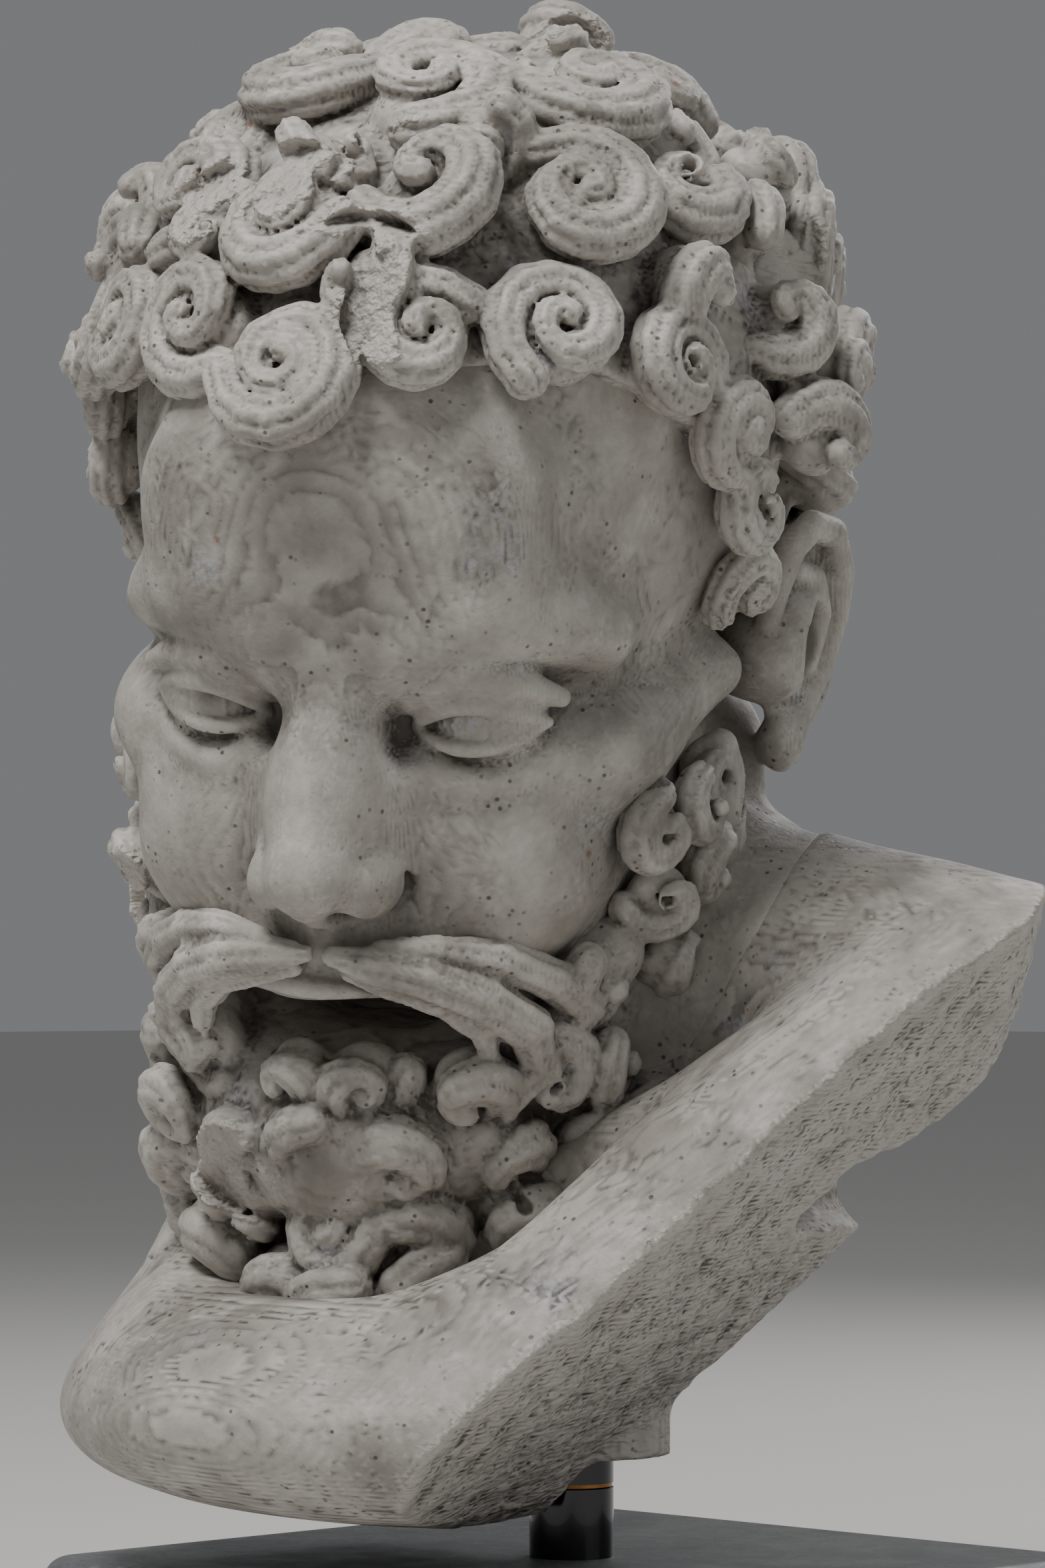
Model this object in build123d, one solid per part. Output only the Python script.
from build123d import *
import math
import os

import numpy as np

os.makedirs("parts", exist_ok=True)

# A marble bust of a bearded, curly-haired man, standing on a steel post over a stone plinth.
# The head, neck and cut-off chest are one carved block. A steel sleeve is bonded into a hole
# drilled up into the neck. The block rests on a turning collar and lifts straight up off a pin.
# Millimetres, +Z up, the chest faces -Y, the origin is under the plinth on the post's axis.

# ---------------------------------------------------------------- driving dimensions
PLINTH_SIDE = 220.0
PLINTH_HEIGHT = 48.0
PLINTH_CORNER = 14.0  # radius of the four upright corners
PLINTH_EDGE = 7.0  # rounding of the top edge
FELT_THICKNESS = 3.0  # felt sheet glued under the plinth, over the recess
FELT_INSET = 5.0  # felt's edge in from each side face

POST_DIAMETER = 24.0
POST_HEIGHT = 20.0  # fixed lower length of the post
COLLAR_HEIGHT = 10.0  # turning upper length of the post
PIN_DIAMETER = 14.0
PIN_REACH = 112.0  # pin above the bearing plate
PIN_SEAT = 9.0  # smooth pin set into the fixed post
PIN_CHAMFER = 2.0
PLATE_DIAMETER = 44.0
PLATE_THICKNESS = 5.0
CUSHION_THICKNESS = 2.0  # lead ring between plate and marble
SLIP_RING_THICKNESS = 1.0  # bronze ring under the collar
SLEEVE_WALL = 2.5
SLEEVE_CAP = 3.0  # closed upper end of the sleeve
SLEEVE_ROOM = 2.0  # air over the pin's tip
BOND_WALL = 2.0  # resin between sleeve and marble
TURN_CLEARANCE = 0.05  # radial, pin in collar, plate and sleeve
SEAT_CLEARANCE = 1.0  # radial, the marble's ground recess round the plate

STUD_DIAMETER = 12.0
STUD_IN_POST = 9.0
STUD_BELOW_NUT = 2.0
STUD_HOLE_CLEARANCE = 0.5  # radial, stud in the plinth
RECESS_DIAMETER = 60.0  # counterbore under the plinth
RECESS_DEPTH = 24.0
PLATE_WASHER_DIAMETER = 44.0
PLATE_WASHER_THICKNESS = 4.0
SPRING_WASHER_DIAMETER = 21.0
SPRING_WASHER_THICKNESS = 2.5
WASHER_CLEARANCE = 0.4  # radial, both washers on the stud
NUT_ACROSS_FLATS = 19.0
NUT_HEIGHT = 10.0

SCREW_DIAMETER = 5.0  # grub screw that locks the collar to the pin
SCREW_HEX = 2.5
SCREW_HEX_DEPTH = 2.0
SCREW_SUNK = 0.4  # screw's outer end below the collar's face
SCREW_CLEARANCE = 0.05  # radial, screw in the collar
SCREW_PIN_GAP = 0.3

HEAD_HEIGHT = 269.0  # bare chin to bare crown
HEAD_WIDTH = 177.0
HEAD_DEPTH = 224.0
HEAD_PITCH = 22.0  # degrees, chin down
HEAD_TILT = 6.0  # degrees, crown leaning to the figure's left
HEAD_TURN = 28.0  # degrees, towards the figure's left
EAR_LEVEL = 318.0  # midpoint of the ear canals, above the ground
EAR_FORWARD = 27.0  # the same point ahead of the post's axis
EAR_ASIDE = -16.0
HAIR_DEPTH = 26.0  # how far the locks stand off the skull
LOCK_WIDTH = 40.0
BEARD_DEPTH = 22.0
BEARD_LOCK_WIDTH = 32.0
NECK_WIDTH = 124.0
CHEST_WIDTH = 300.0
CHEST_DEPTH = 312.0
CHEST_RISE = 58.0  # from the chest's widest level up
CHEST_LEVEL = 92.0  # its widest level, above the ground
CHEST_BACK = 10.0  # its middle, behind the post's axis
SHOULDER_REACH = 188.0
SHOULDER_LEVEL = 173.0
SHOULDER_LEAN = 9.0  # degrees, the figure's left shoulder is higher
SHOULDER_ASIDE = -14.0
GAP_UNDER_BUST = 13.0  # plinth to the marble's lowest point
# each flat cut: the way it faces (degrees from +X to +Y), how far it looks down, how far out it lies
LEFT_CUT = (19.5, 42.0, -42.0)
BACK_CUT = (90.0, 44.0, -46.0)
RIGHT_CUT = (177.0, 22.0, 43.0)
TIP_CUT = (45.0, 4.0, 112.0)
LIP_ROUNDING = 40.0  # the worn lower edge of the chest
CUT_ROUNDING = 9.0
BOSS_WALL = 5.0  # stone left round the bearing plate
BOSS_RISE = 20.0  # from the seat up into the block

# ---------------------------------------------------------------- sizes worked out from them
PLINTH_TOP = FELT_THICKNESS + PLINTH_HEIGHT
RECESS_TOP = FELT_THICKNESS + RECESS_DEPTH
POST_TOP = PLINTH_TOP + POST_HEIGHT
COLLAR_BOTTOM = POST_TOP + SLIP_RING_THICKNESS
COLLAR_TOP = COLLAR_BOTTOM + COLLAR_HEIGHT
PLATE_TOP = COLLAR_TOP + PLATE_THICKNESS
SEAT_LEVEL = PLATE_TOP + CUSHION_THICKNESS
PIN_TOP = PLATE_TOP + PIN_REACH
TURN_BORE = PIN_DIAMETER + 2 * TURN_CLEARANCE
SLEEVE_DIAMETER = TURN_BORE + 2 * SLEEVE_WALL
SOCKET_DIAMETER = SLEEVE_DIAMETER + 2 * BOND_WALL
SLEEVE_TOP = PIN_TOP + SLEEVE_ROOM + SLEEVE_CAP
SOCKET_TOP = SLEEVE_TOP + BOND_WALL
NUT_TOP = RECESS_TOP - PLATE_WASHER_THICKNESS - SPRING_WASHER_THICKNESS
STUD_BOTTOM = NUT_TOP - NUT_HEIGHT - STUD_BELOW_NUT
SCREW_LEVEL = COLLAR_BOTTOM + COLLAR_HEIGHT / 2
MARBLE_BOTTOM = PLINTH_TOP + GAP_UNDER_BUST

# A life-size head is 150 wide, 190 deep and 228 from chin to crown. The carved one is scaled
# from it, so the face below is laid out in life-size millimetres from the ear canals.
LIFE = np.array([150.0, 190.0, 228.0])
HEAD_SCALE = np.array([HEAD_WIDTH, HEAD_DEPTH, HEAD_HEIGHT]) / LIFE
MEAN_SCALE = float(np.prod(HEAD_SCALE)) ** (1 / 3)
CROWN = 124.0
CHIN = -104.0
SIDES = (-1, 1)
LEAST_RADIUS = 8.0  # outlines smaller than this are left off the ends of the skin


# ---------------------------------------------------------------- clay: rounded lumps that blend
def egg(centre, radii, blend=0.0, cut=False, axes=None):
    """An ellipsoid; axes, when given, holds its three directions as columns."""
    return {
        "kind": "egg",
        "centre": np.array(centre, float),
        "radii": np.array(radii, float),
        "axes": axes,
        "size": max(radii),
        "blend": blend,
        "cut": cut,
    }


def limb(start, end, first, last, blend=0.0, cut=False):
    """A round bar from start to end whose radius runs from first to last."""
    start = np.array(start, float)
    end = np.array(end, float)
    return {
        "kind": "limb",
        "start": start,
        "along": end - start,
        "centre": (start + end) / 2,
        "first": first,
        "last": last,
        "size": np.linalg.norm(end - start) / 2 + max(first, last),
        "blend": blend,
        "cut": cut,
    }


def distance(lump, points):
    """Signed distance to one lump, negative inside."""
    if lump["kind"] == "egg":
        offset = points - lump["centre"]
        if lump["axes"] is not None:
            offset = offset @ lump["axes"]
        unit = np.linalg.norm(offset / lump["radii"], axis=-1)
        steep = np.linalg.norm(offset / lump["radii"] ** 2, axis=-1)
        return unit * (unit - 1.0) / np.maximum(steep, 1e-6)
    along = lump["along"]
    share = np.clip((points - lump["start"]) @ along / max(along @ along, 1e-9), 0, 1)
    nearest = lump["start"] + share[:, None] * along
    radius = lump["first"] + (lump["last"] - lump["first"]) * share
    return np.linalg.norm(points - nearest, axis=-1) - radius


def joined(field, other, blend, cut):
    """Adds a lump to the clay, or cuts it out, with a fillet of the given blend."""
    sign = -1.0 if cut else 1.0
    field, other = sign * field, other
    if blend <= 0:
        return sign * np.minimum(field, other) if not cut else np.maximum(-field, -other)
    share = np.clip(0.5 + 0.5 * (other - field) / blend, 0, 1)
    merged = other * (1 - share) + field * share - blend * share * (1 - share)
    return sign * merged


def clay(points, lumps):
    """The signed distance to all the lumps together."""
    field = np.full(points.shape[0], 60.0)
    for lump in lumps:
        near = lump["size"] + lump["blend"] + (2.0 if lump["cut"] else 62.0)
        mask = ((points - lump["centre"]) ** 2).sum(axis=1) < near**2
        there = distance(lump, points[mask])
        field[mask] = joined(field[mask], there, lump["blend"], lump["cut"])
    return field


def middles(field, levels, far):
    """The centre of the clay at each level, eased from one level to the next."""
    line = np.arange(-far, far + 1, 9.0)
    x, y = np.meshgrid(line, line)
    spots = []
    for level in levels:
        points = np.stack([x.ravel(), y.ravel(), np.full(x.size, level)], axis=1)
        spots.append(points[field(points) < 0, :2].mean(axis=0))
    spots = np.array(spots)
    for _ in range(6):
        spots[1:-1] = (spots[:-2] + 2 * spots[1:-1] + spots[2:]) / 4
    return spots


def outlines(field, levels, angles, spots, far):
    """For each level, the outermost radius of the clay in each direction from the middle."""
    directions = np.stack([np.sin(angles), -np.cos(angles), 0 * angles], axis=1)
    directions = np.tile(directions, (len(levels), 1))
    starts = np.column_stack([spots, levels])
    starts = np.repeat(starts, len(angles), axis=0)
    steps = np.linspace(3.0, far, 56)
    last_inside = np.zeros(len(starts), int)
    for number, step in enumerate(steps):
        last_inside[field(starts + directions * step) < 0] = number
    inner = steps[last_inside]
    outer = steps[np.minimum(last_inside + 1, len(steps) - 1)]
    for _ in range(9):
        half = (inner + outer) / 2
        inside = field(starts + directions * half[:, None]) < 0
        inner = np.where(inside, half, inner)
        outer = np.where(inside, outer, half)
    radius = ((inner + outer) / 2).reshape(len(levels), len(angles))
    around = (np.roll(radius, 1, 1) + 2 * radius + np.roll(radius, -1, 1)) / 4
    smooth = around.copy()
    smooth[1:-1] = (around[:-2] + 2 * around[1:-1] + around[2:]) / 4
    return smooth


def lofted(radius, levels, angles, spots):
    """One smooth skin through the outlines, closed flat at both ends."""
    shares = [number / len(angles) for number in range(len(angles) + 1)]
    wires = []
    for row, level, spot in zip(radius, levels, spots):
        if row.min() < LEAST_RADIUS:
            continue
        x = spot[0] + row * np.sin(angles)
        y = spot[1] - row * np.cos(angles)
        points = [Vector(a, b, level) for a, b in zip(x, y)]
        wires.append(Wire([Edge.make_spline(points, periodic=True, parameters=shares)]))
    return Solid.make_loft(wires, ruled=False)


# ---------------------------------------------------------------- the head, life size
def skull():
    """Cranium, face block, jaw and cheekbones."""
    lumps = [
        egg((0, 0, 48), (75, 95, 76)),
        egg((0, -38, -20), (58, 60, 84), 14),
        egg((0, -86, -90), (20, 14, 14), 10),
    ]
    for side in SIDES:
        lumps.append(limb((side * 46, -5, -58), (side * 14, -82, -92), 12, 13, 12))
        lumps.append(egg((side * 80, -52, 42), (13, 26, 24), 14, cut=True))
        lumps.append(egg((side * 50, -57, -9), (16, 22, 13), 12))
        lumps.append(limb((side * 54, -50, -9), (side * 66, -12, -4), 8, 6, 12))
        lumps.append(egg((side * 33, -73, -33), (20, 18, 20), 14))
    return lumps


def brow_and_eyes():
    """Calm brow, hollow sockets, blank eyeballs and the two lids of each eye."""
    lumps = []
    for side in SIDES:
        lumps.append(limb((side * 52, -70, 26), (side * 22, -89, 27), 8, 9, 8))
        lumps.append(limb((side * 22, -89, 27), (0, -90, 25), 9, 8, 8))
        lumps.append(egg((side * 31, -97, 7), (16.5, 14, 11.5), 8, cut=True))
        lumps.append(egg((side * 31, -76, 6), (15.5, 13, 13), 2))
        corners = [(side * 17, -84, 4), (side * 25, -89.5, 11), (side * 36, -89, 11.5), (side * 46, -80, 5)]
        for start, end in zip(corners[:-1], corners[1:]):
            lumps.append(limb(start, end, 2.2, 2.2, 1.5))
        corners = [(side * 17, -84, 4), (side * 26, -88.5, 0), (side * 37, -87.5, 0), (side * 46, -80, 5)]
        for start, end in zip(corners[:-1], corners[1:]):
            lumps.append(limb(start, end, 1.8, 1.8, 1.5))
    return lumps


def nose_and_mouth():
    """Straight nose, closed lips and the hollow over the chin."""
    lumps = [
        limb((0, -90, 12), (0, -111, -22), 6.5, 7.5, 7),
        egg((0, -113, -27), (9, 9, 8), 5),
        egg((0, -80, -58), (32, 24, 24), 12),
        egg((0, -107, -80), (16, 6, 5), 8, cut=True),
    ]
    for side in SIDES:
        lumps.append(egg((side * 12.5, -102, -31), (6.5, 9, 6.5), 3))
        lumps.append(limb((side * 1, -103.5, -56), (side * 13, -100.5, -58), 4, 3.6, 2.5))
        lumps.append(limb((side * 13, -100.5, -58), (side * 25, -92, -61.5), 3.6, 2, 2.5))
        lumps.append(limb((0, -103, -67), (side * 10, -101.5, -66.5), 5, 4.6, 2.5))
        lumps.append(limb((side * 10, -101.5, -66.5), (side * 23, -92, -63), 4.6, 2, 2.5))
    return lumps


def ears():
    """A plate, a raised rim and a hollow on each side."""
    lumps = []
    for side in SIDES:
        lumps.append(egg((side * 78, 16, -4), (7, 19, 31), 3))
        lumps.append(egg((side * 87, 13, -3), (6, 11, 18), 3, cut=True))
    return lumps


def spun(normal, rng):
    """Three directions: two across the normal at a random turn, then the normal itself."""
    across = np.cross(normal, rng.normal(size=3))
    across /= np.linalg.norm(across)
    return np.stack([across, np.cross(normal, across), normal], axis=1)


def hair():
    """A cap over the skull and an even scatter of locks above the hairline."""
    rng = np.random.default_rng(11)
    cap = np.array([79.0, 98.0, 81.0])
    lumps = [egg((0, 3, 50), cap - 1.0, 6)]
    lock = LOCK_WIDTH / MEAN_SCALE
    count = int(4 * math.pi * 90**2 / (0.56 * lock**2))
    line_y = [-100, -60, -35, -18, -16, 32, 34, 100]
    line_z = [84, 80, 58, 30, 36, 36, -46, -62]
    for number in range(count):
        rise = 1 - 2 * (number + 0.5) / count
        turn = math.pi * (1 + math.sqrt(5)) * (number + 0.5)
        flat = math.sqrt(1 - rise * rise)
        way = np.array([flat * math.cos(turn), flat * math.sin(turn), rise])
        spot = way * cap + (0, 2, 46)
        if spot[2] < np.interp(spot[1], line_y, line_z):
            continue
        normal = way / cap
        normal /= np.linalg.norm(normal)
        radii = lock * rng.uniform(0.48, 0.66), lock * rng.uniform(0.38, 0.46)
        high = HAIR_DEPTH / MEAN_SCALE * rng.uniform(0.75, 1.05)
        spot = spot + rng.normal(size=3) * 2.5
        lumps.append(egg(spot, (*radii, high), 2.5, axes=spun(normal, rng)))
    return lumps


def beard():
    """Rows of round locks along the jaw and under the chin, and a parted moustache."""
    rng = np.random.default_rng(5)
    lumps = []
    lock = BEARD_LOCK_WIDTH / MEAN_SCALE
    top, bottom = -22.0, -132.0
    row_count = round((top - bottom) / (0.78 * lock))
    for row in range(row_count):
        level = top + (bottom - top) * row / (row_count - 1)
        down = (top - level) / (top - bottom)
        wide, deep = 68 - 16 * down, 66 - 2 * down
        across = int(math.pi * wide * 1.15 / (0.82 * lock))
        bare = np.interp(level, [-78, -77, -75, -40], [0, 0, 38, 60])
        spread = np.interp(level, [-130, -70, -69, 0], [95, 75, 180, 180])
        for number in range(across):
            angle = -115 + 230 * (number + 0.25 + 0.5 * (row % 2)) / across
            if abs(angle) < bare or abs(angle) > spread:
                continue
            angle = math.radians(angle)
            spot = np.array([wide * math.sin(angle), -30 - deep * math.cos(angle), level])
            normal = np.array([math.sin(angle), -math.cos(angle), -0.25 - 0.5 * down])
            normal /= np.linalg.norm(normal)
            high = BEARD_DEPTH / MEAN_SCALE * rng.uniform(0.8, 1.1)
            radii = (lock * 0.56, lock * 0.44, high)
            spot = spot + rng.normal(size=3) * 1.5
            lumps.append(egg(spot, radii, 2, axes=spun(normal, rng)))
    for side in SIDES:
        path = [(5, -105, -47), (18, -103, -52), (32, -95, -62), (43, -86, -76)]
        path = [(side * x, y, z) for x, y, z in path]
        for start, end in zip(path[:-1], path[1:]):
            lumps.append(limb(start, end, 6.5, 7.0, 3))
    return lumps


def turned(about_x, about_y, about_z):
    """Rotation matrix from degrees about X, then Y, then Z."""
    matrix = np.eye(3)
    for axis, degrees in ((0, about_x), (1, about_y), (2, about_z)):
        first, second = (axis + 1) % 3, (axis + 2) % 3
        step = np.eye(3)
        step[first, first] = step[second, second] = math.cos(math.radians(degrees))
        step[second, first] = math.sin(math.radians(degrees))
        step[first, second] = -step[second, first]
        matrix = step @ matrix
    return matrix


# ---------------------------------------------------------------- neck, chest and the whole block
def head_place():
    """The head's rotation and the midpoint of its ear canals."""
    return turned(HEAD_PITCH, HEAD_TILT, HEAD_TURN), np.array([EAR_ASIDE, -EAR_FORWARD, EAR_LEVEL])


def chest():
    """Neck, sloping shoulders and chest, still running on below the cut."""
    aim, ear = head_place()
    lean = turned(0, -SHOULDER_LEAN, 0)
    root = np.array([SHOULDER_ASIDE, 4.0, SHOULDER_LEVEL])

    def on_head(x, y, z):
        return aim @ (np.array([x, y, z]) * HEAD_SCALE) + ear

    def on_chest(x, y, z):
        return lean @ np.array([x, y, z]) + root

    neck = NECK_WIDTH / 2
    lumps = [
        egg((0, CHEST_BACK, CHEST_LEVEL), (CHEST_WIDTH / 2, CHEST_DEPTH / 2, CHEST_RISE)),
        limb(on_chest(0, 20, -10), on_head(0, 16, -12), neck + 5, neck - 3, 20),
        limb((125, 2, 185), (60, -66, 104), 34, 40, 24),
        limb((-110, -20, 135), (-60, -70, 100), 30, 36, 20),
    ]
    for side in SIDES:
        far = on_chest(side * SHOULDER_REACH, 46, -14)
        lumps.append(limb(on_chest(0, 20, 62), far, neck * 0.55, neck * 0.62, 26))
        inner = (side * 18 - 8, -48, 148)
        lumps.append(limb(inner, (side * 120, 0, 178 + side * 28), 8, 9, 14))
        lumps.append(limb(on_head(side * 56, 22, -34), inner, 11, 8, 16))
    return lumps


def largest(first, second, blend):
    """The common part of two fields, with a rounded edge where they meet."""
    return -joined(-first, -second, blend, False)


def flat_cuts(points):
    """Distance out of the flat cuts under and beside the chest."""
    away = None
    for heading, droop, reach in (LEFT_CUT, BACK_CUT, RIGHT_CUT, TIP_CUT):
        heading, droop = math.radians(heading), math.radians(droop)
        way = [math.cos(droop) * math.cos(heading), math.cos(droop) * math.sin(heading)]
        there = points @ np.array([*way, -math.sin(droop)]) - reach
        away = there if away is None else largest(away, there, 2 * CUT_ROUNDING)
    return away


def marble_block():
    """Every lump of the figure, measured in one field and skinned level by level."""
    head = skull() + brow_and_eyes() + nose_and_mouth() + ears() + hair() + beard()
    torso = chest()
    aim, ear = head_place()
    crown = EAR_LEVEL + (CROWN - 4) * HEAD_SCALE[2] + HAIR_DEPTH

    def field(points):
        local = (points - ear) @ aim / HEAD_SCALE
        upper = clay(local, head) * MEAN_SCALE
        lower = largest(clay(points, torso), MARBLE_BOTTOM - points[:, 2], LIP_ROUNDING)
        lower = largest(lower, flat_cuts(points), CUT_ROUNDING)
        return joined(upper, lower, 4.0, False)

    chin = MARBLE_BOTTOM + 88
    levels = np.concatenate(
        [
            [MARBLE_BOTTOM + 1.5],
            np.arange(MARBLE_BOTTOM + 5, chin, 4.5),
            np.arange(chin + 1, EAR_LEVEL + 52, 3.3),
            np.arange(EAR_LEVEL + 55, crown, 5.0),
        ]
    )
    front = math.radians(HEAD_TURN)
    close = [front + math.radians(2.2 * number) for number in range(-30, 31)]
    wide = np.linspace(close[-1], close[0] + 2 * math.pi, 47)[1:-1]
    angles = np.concatenate([close, wide])
    spots = middles(field, levels, 180.0)
    radius = outlines(field, levels, angles, spots, 220.0)
    return lofted(radius, levels, angles, spots)


def marble_bust():
    block = marble_block()
    print("skin", block.is_valid, round(block.volume / 1000), "cm3")
    recess = PLATE_DIAMETER / 2 + SEAT_CLEARANCE
    block += disc(2 * (recess + BOSS_WALL), MARBLE_BOTTOM, SEAT_LEVEL + BOSS_RISE)
    block -= Pos(0, 0, SEAT_LEVEL / 2) * Cylinder(recess, SEAT_LEVEL)
    return block - Pos(0, 0, SOCKET_TOP / 2) * Cylinder(SOCKET_DIAMETER / 2, SOCKET_TOP)


# ---------------------------------------------------------------- the mount
def disc(diameter, bottom, top, hole=0.0):
    body = Pos(0, 0, (bottom + top) / 2) * Cylinder(diameter / 2, top - bottom)
    if hole > 0:
        body -= Pos(0, 0, (bottom + top) / 2) * Cylinder(hole / 2, top - bottom + 2)
    return body


def plinth():
    block = Box(PLINTH_SIDE, PLINTH_SIDE, PLINTH_HEIGHT)
    block = fillet(block.edges().filter_by(Axis.Z), PLINTH_CORNER)
    block = fillet(block.faces().sort_by(Axis.Z)[-1].edges(), PLINTH_EDGE)
    block = chamfer(block.faces().sort_by(Axis.Z)[0].edges(), 1.5)
    block = Pos(0, 0, FELT_THICKNESS + PLINTH_HEIGHT / 2) * block
    block -= disc(RECESS_DIAMETER, 0, RECESS_TOP)
    return block - disc(STUD_DIAMETER + 2 * STUD_HOLE_CLEARANCE, 0, PLINTH_TOP + 1)


def felt_sheet():
    side = PLINTH_SIDE - 2 * FELT_INSET
    sheet = Pos(0, 0, FELT_THICKNESS / 2) * Box(side, side, FELT_THICKNESS)
    return fillet(sheet.edges().filter_by(Axis.Z), PLINTH_CORNER - FELT_INSET)


def lower_post():
    post = disc(POST_DIAMETER, PLINTH_TOP, POST_TOP)
    post = chamfer(post.faces().sort_by(Axis.Z)[-1].edges(), 0.4)
    post -= disc(PIN_DIAMETER, POST_TOP - PIN_SEAT, POST_TOP + 1)
    return post - disc(STUD_DIAMETER, PLINTH_TOP - 1, PLINTH_TOP + STUD_IN_POST)


def support_pin():
    pin = disc(PIN_DIAMETER, POST_TOP - PIN_SEAT, PIN_TOP)
    return chamfer(pin.faces().sort_by(Axis.Z)[-1].edges(), PIN_CHAMFER)


def slip_ring():
    return disc(POST_DIAMETER - 0.8, POST_TOP, COLLAR_BOTTOM, TURN_BORE)


def screw_length():
    return (POST_DIAMETER - PIN_DIAMETER) / 2 - SCREW_SUNK - SCREW_PIN_GAP


def turning_collar():
    collar = disc(POST_DIAMETER, COLLAR_BOTTOM, COLLAR_TOP, TURN_BORE)
    reach = POST_DIAMETER / 2
    hole = Cylinder(SCREW_DIAMETER / 2 + SCREW_CLEARANCE, reach)
    return collar - Pos(0, reach / 2, SCREW_LEVEL) * Rot(90, 0, 0) * hole


def lock_screw():
    length = screw_length()
    outer = POST_DIAMETER / 2 - SCREW_SUNK
    screw = Cylinder(SCREW_DIAMETER / 2, length)
    screw = chamfer(screw.edges(), 0.4)
    key = extrude(RegularPolygon(SCREW_HEX / 2, 6, major_radius=False), SCREW_HEX_DEPTH)
    screw -= Pos(0, 0, length / 2 - SCREW_HEX_DEPTH) * key
    return Pos(0, outer - length / 2, SCREW_LEVEL) * Rot(-90, 0, 0) * screw


def bearing_plate():
    plate = disc(PLATE_DIAMETER, COLLAR_TOP, PLATE_TOP)
    plate = chamfer(plate.edges(), 0.6)
    return plate - disc(TURN_BORE, COLLAR_TOP - 1, PLATE_TOP + 1)


def seat_cushion():
    return disc(PLATE_DIAMETER - 2.0, PLATE_TOP, SEAT_LEVEL, SOCKET_DIAMETER + 1.0)


def socket_sleeve():
    sleeve = disc(SLEEVE_DIAMETER, SEAT_LEVEL, SLEEVE_TOP)
    return sleeve - disc(TURN_BORE, SEAT_LEVEL - 1, SLEEVE_TOP - SLEEVE_CAP)


def resin_bond():
    bond = disc(SOCKET_DIAMETER, SEAT_LEVEL, SOCKET_TOP)
    return bond - disc(SLEEVE_DIAMETER, SEAT_LEVEL - 1, SLEEVE_TOP)


def base_stud():
    stud = disc(STUD_DIAMETER, STUD_BOTTOM, PLINTH_TOP + STUD_IN_POST)
    return chamfer(stud.edges().filter_by(GeomType.CIRCLE), 1.0)


def plate_washer():
    bottom = RECESS_TOP - PLATE_WASHER_THICKNESS
    hole = STUD_DIAMETER + 2 * WASHER_CLEARANCE
    return disc(PLATE_WASHER_DIAMETER, bottom, RECESS_TOP, hole)


def spring_washer():
    hole = STUD_DIAMETER + 2 * WASHER_CLEARANCE
    ring = disc(SPRING_WASHER_DIAMETER, NUT_TOP, NUT_TOP + SPRING_WASHER_THICKNESS, hole)
    slot = Pos(SPRING_WASHER_DIAMETER / 2, 0, NUT_TOP) * Rot(0, 0, 20) * Box(12, 1.2, 8)
    return ring - slot


def hex_nut():
    nut = extrude(RegularPolygon(NUT_ACROSS_FLATS / 2, 6, major_radius=False), NUT_HEIGHT)
    corner = NUT_ACROSS_FLATS / math.sqrt(3)
    cone = chamfer(Cylinder(corner, NUT_HEIGHT).edges(), 1.0, 1.6)
    nut = nut & Pos(0, 0, NUT_HEIGHT / 2) * cone
    nut = Pos(0, 0, NUT_TOP - NUT_HEIGHT) * nut
    return nut - disc(STUD_DIAMETER, NUT_TOP - NUT_HEIGHT - 1, NUT_TOP + 1)


PARTS = {
    "marble_bust": marble_bust,
    "resin_bond": resin_bond,
    "socket_sleeve": socket_sleeve,
    "seat_cushion": seat_cushion,
    "bearing_plate": bearing_plate,
    "turning_collar": turning_collar,
    "lock_screw": lock_screw,
    "slip_ring": slip_ring,
    "support_pin": support_pin,
    "lower_post": lower_post,
    "base_stud": base_stud,
    "plate_washer": plate_washer,
    "spring_washer": spring_washer,
    "hex_nut": hex_nut,
    "plinth": plinth,
    "felt_sheet": felt_sheet,
}

for name, make in PARTS.items():
    part = make()
    box = part.bounding_box()
    print(name, "volume", round(part.volume / 1000, 2), "cm3", "valid", part.is_valid)
    print("   from", [round(value, 1) for value in box.min], "to", [round(value, 1) for value in box.max])
    export_step(part, f"parts/{name}.step")
